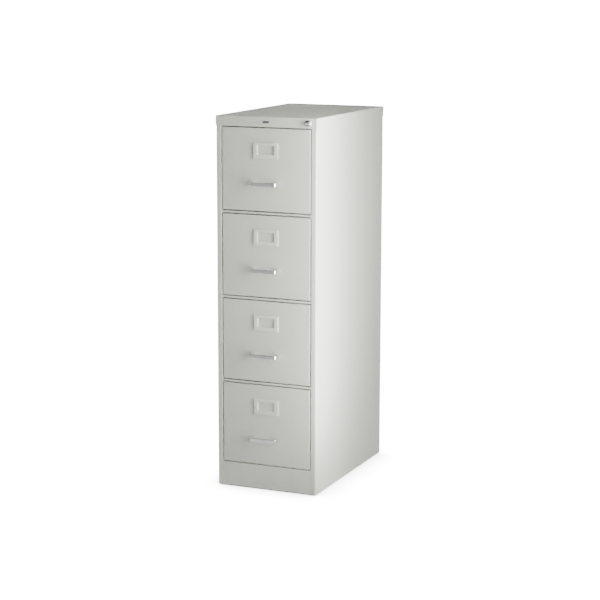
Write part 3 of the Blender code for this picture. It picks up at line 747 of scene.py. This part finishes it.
def make_glides():
    """Levelling glides: a moulded foot round the head of a threaded steel stem with a hex nut."""
    for end in ("front", "rear"):
        for side, sign in SIDES:
            name = f"glide_{end}_{side}"
            low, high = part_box(name)
            centre = ((low.x + high.x) / 2, (low.y + high.y) / 2, low.z)
            reach = (high.x - low.x) / 2
            foot = turn_piece(
                f"{name}_foot",
                [
                    (reach - 3 * MM, 0.6 * MM), (reach - 2.4 * MM, 0.0), (reach - 0.8 * MM, 0.0),
                    (reach, 0.9 * MM), (reach, 2.6 * MM), (reach - 0.5 * MM, 3.3 * MM),
                    (reach - 3.4 * MM, 5.4 * MM), (reach - 4.4 * MM, 5.9 * MM),
                    (6.4 * MM, 6.4 * MM), (5.4 * MM, 7.2 * MM), (4.2 * MM, 7.2 * MM),
                ],
                centre, 56,
            )
            settle(foot, name, PLASTIC, [name])
            thread = [(3.6 * MM, 7.0 * MM), (GLIDE_STEM_RADIUS, 12 * MM)]
            height = THREAD_FOOT
            while height < high.z - low.z - THREAD_TIP:
                thread.append((GLIDE_STEM_RADIUS, height))
                thread.append((GLIDE_STEM_RADIUS - THREAD_DEPTH, height + THREAD_PITCH / 2))
                height += THREAD_PITCH
            thread.append((2.9 * MM, high.z - low.z))
            stem = turn_piece(f"{name}_stem", thread, centre, 28)
            nut = turn_piece(
                f"{name}_nut",
                [
                    (6.3 * MM, 7.7 * MM), (7.4 * MM, 8.1 * MM),
                    (7.4 * MM, 11.2 * MM), (6.3 * MM, 11.6 * MM),
                ],
                centre, 6,
            )
            settle(join_all([stem, nut], f"{name}_screw"), name, ZINC)


def make_header_plate():
    """Blank plate: a bright rim round a plain dark field."""
    low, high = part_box("header_plate")
    plate = box_piece("blank_plate", low, high)
    pick("EDGE", lambda place, line: runs_along(line, 1))
    bpy.ops.mesh.bevel(offset=PLATE_CORNER, offset_type="OFFSET", segments=6, affect="EDGES")
    pick("FACE", lambda place, normal: normal.y < -0.9)
    bpy.ops.mesh.inset(thickness=PLATE_RIM)
    press(PLATE_FIELD_SLOPE, (0, PLATE_FIELD_DEPTH, 0))
    close_piece()
    ease_edges(plate, 0.12 * MM, 2, 40)
    settle(plate, "case", CHROME, ["header_plate"])
    plate.data.materials.append(PLATE_FACE)
    for face in plate.data.polygons:
        if face.normal.y < -0.9 and face.center.y > low.y + PLATE_FIELD_DEPTH * 2 / 3:
            face.material_index = 1


# ---------------------------------------------------------------- slides
def make_slides():
    """The case channel, the middle member and its ball cage on both sides of each drawer."""
    for side, sign in SIDES:
        name = f"case_channel_1_{side}"
        low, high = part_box(name)
        inner, outer = (low.x, high.x) if sign > 0 else (high.x, low.x)
        corners = [(inner, low.z), (outer, low.z), (outer, high.z), (inner, high.z)]
        if sign < 0:
            corners.reverse()
        middle = (low.z + high.z) / 2

        def punch_channel():
            first = low.y + CHANNEL_HOLE_START
            holes = [first + step * CHANNEL_HOLE_PITCH for step in range(CHANNEL_HOLES)]
            cut_across(2, [middle - CHANNEL_HOLE_HALF, middle + CHANNEL_HOLE_HALF])
            cut_across(1, [edge for hole in holes for edge in (hole, hole + CHANNEL_HOLE_LENGTH)])
            pick(
                "FACE",
                lambda place, normal: at(place.x, outer)
                and abs(place.z - middle) < CHANNEL_HOLE_HALF
                and any(hole < place.y < hole + CHANNEL_HOLE_LENGTH for hole in holes),
            )
            bpy.ops.mesh.delete(type="FACE")

        channel = fold_sheet(
            f"{name}_strip", "Y", corners, FOLD_RADIUS, low.y, high.y, SHEET, 5, shape=punch_channel
        )
        settle_on_each(channel, "case_channel_{}_" + side, "case", ZINC)

        name = f"mid_slide_1_{side}"
        mid_low, mid_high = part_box(name)
        inner, outer = (mid_low.x, mid_high.x) if sign > 0 else (mid_high.x, mid_low.x)
        corners = [
            (inner, mid_low.z), (outer, mid_low.z), (outer, mid_high.z), (inner, mid_high.z),
        ]
        if sign < 0:
            corners.reverse()

        def press_member():
            start, end = mid_low.y + GROOVE_END, mid_high.y - GROOVE_END
            cut_across(2, [middle - GROOVE_HALF, middle + GROOVE_HALF])
            cut_across(1, [start, end])
            pick(
                "FACE",
                lambda place, normal: at(place.x, outer)
                and abs(place.z - middle) < GROOVE_HALF
                and start < place.y < end,
            )
            press(GROOVE_SLOPE, (-sign * GROOVE_DEPTH, 0, 0))

        member = fold_sheet(
            f"{name}_strip", "Y", corners, FOLD_RADIUS, mid_low.y, mid_high.y, SHEET, 5,
            shape=press_member,
        )
        settle_on_each(member, "mid_slide_{}_" + side, "mid_slides_{}", ZINC)

        cage = make_ball_cage(f"ball_cage_1_{side}", sign, low, high, mid_low, mid_high)
        settle_on_each(
            cage, "ball_cage_{}_" + side, "mid_slides_{}", ZINC, "mid_slide_{}_" + side
        )


def make_ball_cage(name, sign, low, high, mid_low, mid_high):
    """Balls above and below the middle member, held in a thin strip along its rear half."""
    inner = min(abs(low.x), abs(high.x))
    x = sign * (inner + CAGE_INSET)
    gap = high.z - SHEET - mid_high.z
    ball_radius = gap / 2 - BALL_PLAY
    bpy.ops.mesh.primitive_uv_sphere_add(segments=12, ring_count=8, radius=ball_radius)
    ball = start_piece("ball")
    close_piece()
    pieces = []
    for height in (mid_high.z + gap / 2, mid_low.z - gap / 2):
        strip = box_piece(
            "cage_strip",
            (x - CAGE_HALF, CAGE_FRONT_Y - CAGE_LEAD, height - CAGE_HALF_SHEET),
            (x + CAGE_HALF, CAGE_FRONT_Y + CAGE_BALLS * CAGE_PITCH, height + CAGE_HALF_SHEET),
        )
        pick("EDGE", lambda place, line: runs_along(line, 2))
        bpy.ops.mesh.bevel(offset=CAGE_CORNER, offset_type="OFFSET", segments=4, affect="EDGES")
        close_piece()
        pieces.append(strip)
        for step in range(CAGE_BALLS):
            pieces.append(copied(ball, "ball_copy", (x, CAGE_FRONT_Y + step * CAGE_PITCH, height)))
    bpy.data.objects.remove(ball, do_unlink=True)
    return join_all(pieces, name)


# ---------------------------------------------------------------- drawers
def make_drawer_fronts():
    """Drawer fronts: pans with turned-back edges, open towards the tray."""
    low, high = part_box("drawer_front_1")
    front = open_pan("front_pan", low, high, 1, 1, FRONT_EDGE_RADIUS, 6, SHEET)
    ease_edges(front, CUT_EDGE, 1, 60)
    settle_on_each(front, "drawer_front_{}", "drawer_{}", ENAMEL)


def make_trays():
    """Tray: one folded sheet slotted for the follower, the front's liner, and the lock's strike."""
    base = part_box("drawer_front_1")[0].z
    low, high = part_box("tray_1")
    slide_low, slide_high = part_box("mid_slide_1_right")
    half = slide_low.x - TRAY_TO_SLIDE
    runner = slide_high.x - SHEET - RUNNER_TO_SLIDE + TRAY_SHEET
    middle = (slide_low.z + slide_high.z) / 2
    bottom = base + TRAY_RISE
    top = high.z - TRAY_HEM_DROP
    right = [
        (half, bottom),
        (half, middle - RUNNER_HALF), (runner, middle - RUNNER_HALF),
        (runner, middle + RUNNER_HALF), (half, middle + RUNNER_HALF),
        (half, top), (half - HEM_WIDTH, top), (half - HEM_WIDTH, top - HEM_DEPTH),
    ]
    creases = [CREASE_RADIUS] * (len(right) - 2)
    radii = creases + [BOTTOM_FOLD_RADIUS] * 2 + creases
    slots = [low.y + SLOT_START + step * SLOT_PITCH for step in range(SLOT_COUNT)]

    def punch_tray():
        on_bottom = lambda place, normal: at(place.z, bottom)
        cut_across(0, [-SLOT_HALF, SLOT_HALF], on_bottom)
        in_strip = lambda place, normal: at(place.z, bottom) and abs(place.x) < SLOT_HALF
        cut_across(1, [edge for slot in slots for edge in (slot, slot + SLOT_WIDTH)], in_strip)
        pick(
            "FACE",
            lambda place, normal: in_strip(place, normal)
            and any(slot < place.y < slot + SLOT_WIDTH for slot in slots),
        )
        bpy.ops.mesh.delete(type="FACE")

    tray = fold_sheet(
        "tray_fold", "Y", mirrored(right) + right, radii, low.y + TRAY_SHEET / 2, high.y,
        TRAY_SHEET, TRAY_FOLD_STEPS, TRAY_CUT_EDGE, punch_tray,
    )
    liner = box_piece("tray_liner", low, (high.x, low.y + TRAY_SHEET, high.z))
    pick("EDGE", lambda place, line: runs_along(line, 1))
    bpy.ops.mesh.bevel(offset=LINER_CORNER, offset_type="OFFSET", segments=4, affect="EDGES")
    pick("FACE", lambda place, normal: normal.y > 0.9)
    bpy.ops.mesh.inset(thickness=LINER_RIM)
    press(LINER_SLOPE, (0, LINER_PRESS, 0))
    close_piece()

    strike_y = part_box("lock_bar")[1].y + STRIKE_TO_TOOTH
    strike_low = Vector((half - TRAY_SHEET / 2, strike_y, base + STRIKE_RISE))
    strike_high = strike_low + Vector((STRIKE_WIDTH, STRIKE_THICKNESS, STRIKE_HEIGHT))
    strike = box_piece("strike", strike_low, strike_high)
    pick("EDGE", lambda place, line: at(place.x, strike_high.x) and runs_along(line, 1))
    bpy.ops.mesh.bevel(offset=STRIKE_CORNER, offset_type="OFFSET", segments=4, affect="EDGES")
    close_piece()
    ease_edges(strike, 0.3 * MM, 1, 60)
    whole = join_all([tray, liner, strike], "tray_shell")
    settle_on_each(whole, "tray_{}", "drawer_{}", ENAMEL)


def make_tray_backs():
    """Tray back: flanged top and bottom, its field pressed forward."""
    low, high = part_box("tray_back_1")
    corners = [(low.y, low.z), (high.y, low.z), (high.y, high.z), (low.y, high.z)]

    def press_panel():
        cut_across(0, [low.x + BACK_RIM_X, high.x - BACK_RIM_X])
        cut_across(2, [low.z + BACK_RIM_Z, high.z - BACK_RIM_Z])
        pick(
            "FACE",
            lambda place, normal: at(place.y, high.y)
            and abs(place.x) < high.x - BACK_RIM_X
            and low.z + BACK_RIM_Z < place.z < high.z - BACK_RIM_Z,
        )
        press(BACK_SLOPE, (0, -BACK_PRESS, 0))

    back = fold_sheet(
        "back_fold", "X", corners, FOLD_RADIUS, low.x, high.x, TRAY_SHEET, shape=press_panel
    )
    settle_on_each(back, "tray_back_{}", "drawer_{}", ENAMEL)


def make_pulls():
    """Chromed strap pull, bent round at both ends, its edges drawn smooth."""
    low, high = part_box("pull_1")
    corners = [(low.x, high.y), (low.x, low.y), (high.x, low.y), (high.x, high.y)]
    pull = fold_sheet("pull_strap", "Z", corners, PULL_BEND, low.z, high.z, PULL_THICKNESS, 12, 0)
    ease_edges(pull, PULL_EDGE, 6, 60)
    settle_on_each(pull, "pull_{}", "drawer_{}", CHROME)


def make_label_holders():
    """Label holder: a shallow frame with eased edges round an open window."""
    low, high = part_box("label_holder_1")
    rim = (high.z - low.z - WINDOW_HEIGHT) / 2
    holder = box_piece("holder", low, high)
    pick("FACE", lambda place, normal: abs(normal.y) > 0.9)
    bpy.ops.mesh.inset(thickness=rim)
    bpy.ops.transform.resize(value=(WINDOW_WIDTH / (high.x - low.x - 2 * rim), 1, 1))
    bpy.ops.transform.translate(value=(0, 0, WINDOW_RAISE))
    bpy.ops.mesh.delete(type="FACE")
    pick("EDGE", lambda place, line: line.is_boundary)
    bpy.ops.mesh.bridge_edge_loops()
    bpy.ops.mesh.select_all(action="SELECT")
    bpy.ops.mesh.normals_make_consistent(inside=False)
    close_piece()
    ease_edges(holder, HOLDER_EDGE, 3, 40)
    # The holder wears the lightened enamel, a painted highlight on its frame.
    settle_on_each(holder, "label_holder_{}", "drawer_{}", HOLDER_ENAMEL_PAINTED_LIGHTER)


def make_followers():
    """Follower plate: a leaning sheet with a curled top, two pressed ribs and a grip slot."""
    low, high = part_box("follower_1")
    base_y = high.y - FOLLOWER_FOOT
    lean_y = base_y + FOLLOWER_LEAN
    corners = [
        (lean_y + FOLLOWER_CURL, high.z), (lean_y, high.z), (base_y, low.z), (high.y, low.z),
    ]

    def shape_plate():
        on_plate = lambda place, normal: abs(normal.y) > 0.9
        rib_low, rib_high = low.z + RIB_RISE, high.z - RIB_DROP
        grip_high = high.z - GRIP_DROP
        grip_low = grip_high - GRIP_HEIGHT
        ribs = [side * RIB_X + edge for side in (-1, 1) for edge in (-RIB_HALF, RIB_HALF)]
        cut_across(0, [-GRIP_HALF, GRIP_HALF] + ribs)
        cut_across(2, [rib_low, rib_high, grip_low, grip_high], on_plate)
        pick(
            "FACE",
            lambda place, normal: on_plate(place, normal)
            and abs(abs(place.x) - RIB_X) < RIB_HALF
            and rib_low < place.z < rib_high,
        )
        press(RIB_SLOPE, (0, RIB_DEPTH, 0))
        pick(
            "FACE",
            lambda place, normal: on_plate(place, normal)
            and abs(place.x) < GRIP_HALF
            and grip_low < place.z < grip_high,
        )
        bpy.ops.mesh.delete(type="FACE")

    follower = fold_sheet(
        "follower_plate", "X", corners, FOLD_RADIUS, low.x, high.x, FOLLOWER_SHEET, 6,
        FOLLOWER_CUT_EDGE, shape_plate,
    )
    settle_on_each(follower, "follower_{}", "follower_{}", ZINC)


# ---------------------------------------------------------------- lock
def make_lock():
    """Push-in cylinder lock, popped out: flanged housing, plunger, and the core with its keyway."""
    low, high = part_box("lock_housing")
    face = Vector(((low.x + high.x) / 2, low.y + LOCK_FLANGE_THICKNESS, (low.z + high.z) / 2))
    plunger_low, plunger_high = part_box("lock_plunger")
    core_low, core_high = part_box("lock_core")
    flange = (high.x - low.x) / 2
    plunger_radius = (plunger_high.x - plunger_low.x) / 2
    core_radius = (core_high.x - core_low.x) / 2
    bore = plunger_radius + SEAM
    core_bore = core_radius + SEAM
    barrel_tail = face.y - high.y
    tip = face.y - plunger_low.y
    pin_tail = face.y - plunger_high.y
    housing = turn_piece(
        "lock_flange",
        [
            (bore, 0.6 * MM), (bore + 0.4 * MM, 1.5 * MM), (bore + 1.1 * MM, 2.2 * MM),
            (flange - 2.0 * MM, 2.5 * MM), (flange - 1.1 * MM, 2.2 * MM),
            (flange - 0.4 * MM, 1.5 * MM), (flange, 0.8 * MM), (flange, SEAM),
            (LOCK_BARREL_RADIUS, SEAM), (LOCK_BARREL_RADIUS, barrel_tail), (bore, barrel_tail),
        ],
        face, 72, True, True,
    )
    settle(housing, "case", CHROME, ["lock_housing"])

    plunger = turn_piece(
        "lock_plunger_sleeve",
        [
            (core_bore, tip - CORE_DEPTH), (core_bore, tip - 0.4 * MM),
            (core_radius + 0.7 * MM, tip), (plunger_radius - 1.0 * MM, tip),
            (plunger_radius - 0.3 * MM, tip - 0.3 * MM), (plunger_radius, tip - 1.0 * MM),
            (plunger_radius, -SLEEVE_TAIL), (SLEEVE_PIN_RADIUS, -SLEEVE_TAIL),
            (SLEEVE_PIN_RADIUS, pin_tail + 1 * MM), (SLEEVE_PIN_RADIUS - 1 * MM, pin_tail),
        ],
        face, 64, True,
    )
    settle(plunger, "lock_plunger", CHROME, ["lock_plunger"])

    core_face = face.y - core_low.y
    core = turn_piece(
        "lock_core_plug",
        [
            (core_radius, core_face - CORE_DEPTH), (core_radius, core_face - 0.35 * MM),
            (core_radius - 0.35 * MM, core_face), (CORE_DISH_RADIUS, core_face),
            (CORE_DISH_RADIUS - 0.2 * MM, core_face - 0.25 * MM),
        ],
        face, 48, True,
    )
    keyway = box_piece(
        "keyway",
        (face.x - KEYWAY_HALF_WIDTH, core_low.y - 5 * MM, face.z - KEYWAY_HALF_HEIGHT),
        (face.x + KEYWAY_HALF_WIDTH, core_low.y + KEYWAY_DEPTH, face.z + KEYWAY_HALF_HEIGHT),
    )
    pick("FACE", lambda place, normal: normal.x > 0.9)
    bpy.ops.mesh.inset(thickness=0.4 * MM)
    close_piece()
    cut_with(core, keyway)
    settle(core, "lock_core", CHROME, ["lock_core"])


paint_frame()
make_case_sides()
make_back_panel()
make_top_cover()
make_rails()
make_base()
make_glides()
make_header_plate()
make_slides()
make_drawer_fronts()
make_trays()
make_tray_backs()
make_pulls()
make_label_holders()
make_followers()
make_lock()


# ---------------------------------------------------------------- studio
CAMERA_PLACE = (2.514, -5.834, 1.805)
CAMERA_TARGET = (-0.0006, 0.0, 0.6352)
CAMERA_ROLL = math.radians(0.09)
CAMERA_LENS = 106.68
SURROUND_LIGHT = 0.30
SURROUND_SEEN = 20
SURROUND_BANDS = ((0.0, 0.6), (0.03, 0.6), (0.10, 0.03), (0.62, 0.03), (0.72, 0.7), (1.0, 0.55))
FLOOR_GREY = (0.45, 0.45, 0.45)
FLOOR_SHADE_REACH = 0.12
FLOOR_GLOW_IN_PAINTED_SHADE = 3.5
FLOOR_GLOW_FAR = 17
FLOOR_GLOW_IN_METAL = 0.42
FLOOR_MASK_INSET = 4 * MM


def aim(thing, place, target, roll=0.0):
    thing.location = place
    thing.rotation_mode = "QUATERNION"
    look = (Vector(target) - Vector(place)).to_track_quat("-Z", "Y")
    thing.rotation_quaternion = look @ Quaternion((0, 0, 1), roll)


def make_camera():
    data = bpy.data.cameras.new("camera")
    data.sensor_width = 36
    data.lens = CAMERA_LENS
    camera = bpy.data.objects.new("camera", data)
    bpy.context.scene.collection.objects.link(camera)
    aim(camera, CAMERA_PLACE, CAMERA_TARGET, CAMERA_ROLL)
    bpy.context.scene.camera = camera


def make_light(name, place, target, width, height, watts, spread_angle=180):
    data = bpy.data.lights.new(name, "AREA")
    data.shape = "RECTANGLE"
    data.size = width
    data.size_y = height
    data.energy = watts
    data.spread = math.radians(spread_angle)
    light = bpy.data.objects.new(name, data)
    bpy.context.scene.collection.objects.link(light)
    aim(light, place, target)


def make_world():
    """Soft grey surroundings: white where seen straight, banded where bright metal mirrors them."""
    world = bpy.data.worlds.new("studio")
    bpy.context.scene.world = world
    world.use_nodes = True
    tree = world.node_tree
    around = tree.nodes["Background"]
    around.inputs["Color"].default_value = (1, 1, 1, 1)
    around.inputs["Strength"].default_value = SURROUND_LIGHT

    place = tree.nodes.new("ShaderNodeTexCoord")
    split = tree.nodes.new("ShaderNodeSeparateXYZ")
    tree.links.new(place.outputs["Generated"], split.inputs["Vector"])
    bands = tree.nodes.new("ShaderNodeValToRGB")
    steps = bands.color_ramp.elements
    for height, _ in SURROUND_BANDS[1:-1]:
        steps.new(height)
    for step, (_, level) in zip(steps, SURROUND_BANDS):
        step.color = (level, level, level, 1)
    tree.links.new(split.outputs["Z"], bands.inputs["Fac"])
    mirrored_around = tree.nodes.new("ShaderNodeBackground")
    tree.links.new(bands.outputs["Color"], mirrored_around.inputs["Color"])
    dark_left = spread(tree, split.outputs["X"], 0.06, 1.0, -0.80, -0.62)
    tree.links.new(dark_left, mirrored_around.inputs["Strength"])

    seen = tree.nodes.new("ShaderNodeBackground")
    seen.inputs["Color"].default_value = (1, 1, 1, 1)
    seen.inputs["Strength"].default_value = SURROUND_SEEN
    path = tree.nodes.new("ShaderNodeLightPath")
    mix_mirrored = tree.nodes.new("ShaderNodeMixShader")
    tree.links.new(path.outputs["Is Glossy Ray"], mix_mirrored.inputs[0])
    tree.links.new(around.outputs[0], mix_mirrored.inputs[1])
    tree.links.new(mirrored_around.outputs[0], mix_mirrored.inputs[2])
    mix = tree.nodes.new("ShaderNodeMixShader")
    tree.links.new(path.outputs["Is Camera Ray"], mix.inputs[0])
    tree.links.new(mix_mirrored.outputs[0], mix.inputs[1])
    tree.links.new(seen.outputs[0], mix.inputs[2])
    tree.links.new(mix.outputs[0], tree.nodes["World Output"].inputs["Surface"])


def make_floor():
    """Pale floor: seen straight, it glows white but for a painted contact shadow near the cabinet and the
    real shade under it.
    """
    bpy.ops.mesh.primitive_circle_add(vertices=96, radius=40, fill_type="NGON")
    floor = bpy.context.object
    floor.name = "floor"
    material, tree, shader = new_surface("pale_floor", FLOOR_GREY, 0.9, 0.0)

    # Painted contact shadow: ambient occlusion near the cabinet dims the glow that the camera sees.
    nearness = tree.nodes.new("ShaderNodeAmbientOcclusion")
    nearness.inputs["Distance"].default_value = FLOOR_SHADE_REACH
    seen = spread(tree, nearness.outputs["AO"], FLOOR_GLOW_IN_PAINTED_SHADE, FLOOR_GLOW_FAR, 0.45, 0.97)

    low = Vector(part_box("case_side_left")[0])
    high = Vector(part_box("case_side_right")[1])
    centre = (low + high) / 2
    half = (high - low) / 2 - Vector((FLOOR_MASK_INSET, FLOOR_MASK_INSET, 0))
    place = tree.nodes.new("ShaderNodeTexCoord")
    footprint = tree.nodes.new("ShaderNodeMapping")
    footprint.inputs["Scale"].default_value = (1 / half.x, 1 / half.y, 1)
    footprint.inputs["Location"].default_value = (-centre.x / half.x, -centre.y / half.y, 0)
    away = tree.nodes.new("ShaderNodeVectorMath")
    away.operation = "ABSOLUTE"
    split = tree.nodes.new("ShaderNodeSeparateXYZ")
    tree.links.new(place.outputs["Object"], footprint.inputs["Vector"])
    tree.links.new(footprint.outputs["Vector"], away.inputs[0])
    tree.links.new(away.outputs["Vector"], split.inputs["Vector"])
    farthest = reckon(tree, "MAXIMUM", split.outputs["X"], split.outputs["Y"])
    clear_of_case = reckon(tree, "GREATER_THAN", farthest, 1.0)

    path = tree.nodes.new("ShaderNodeLightPath")
    open_floor = reckon(tree, "MULTIPLY", seen, clear_of_case)
    glow = reckon(tree, "MULTIPLY", path.outputs["Is Camera Ray"], open_floor)
    glow_in_all = reckon(
        tree, "MULTIPLY_ADD", path.outputs["Is Glossy Ray"], FLOOR_GLOW_IN_METAL, glow
    )
    tree.links.new(glow_in_all, shader.inputs["Emission Strength"])
    shader.inputs["Emission Color"].default_value = (1, 1, 1, 1)
    floor.data.materials.append(material)


make_camera()
make_world()
make_floor()
make_light("side_light", (1.6, -0.6, 1.1), (0.19, -0.1, 0.7), 1.0, 1.0, 18)
make_light("side_wash", (0.50, -0.385, 0.93), (0.19, -0.19, 0.93), 0.12, 1.5, 15, 130)
make_light("edge_light", (0.9, -0.9, 0.95), (0.15, -0.75, 0.95), 0.4, 1.5, 5, 90)
make_light("key_light", (1.3, -1.2, 0.9), (0.1, -0.7, 0.9), 0.4, 1.6, 3.5, 60)
make_light("top_light", (0.0, 0.0, 4.0), (0, 0, 1.3), 2.0, 2.0, 5)
make_light("left_light", (-2.2, 0.5, 1.4), (-0.19, 0.25, 0.7), 0.8, 1.4, 46, 120)
make_light("rear_edge_light", (-1.1, 0.85, 1.3), (0, 0.334, 0.8), 0.1, 1.2, 7, 90)
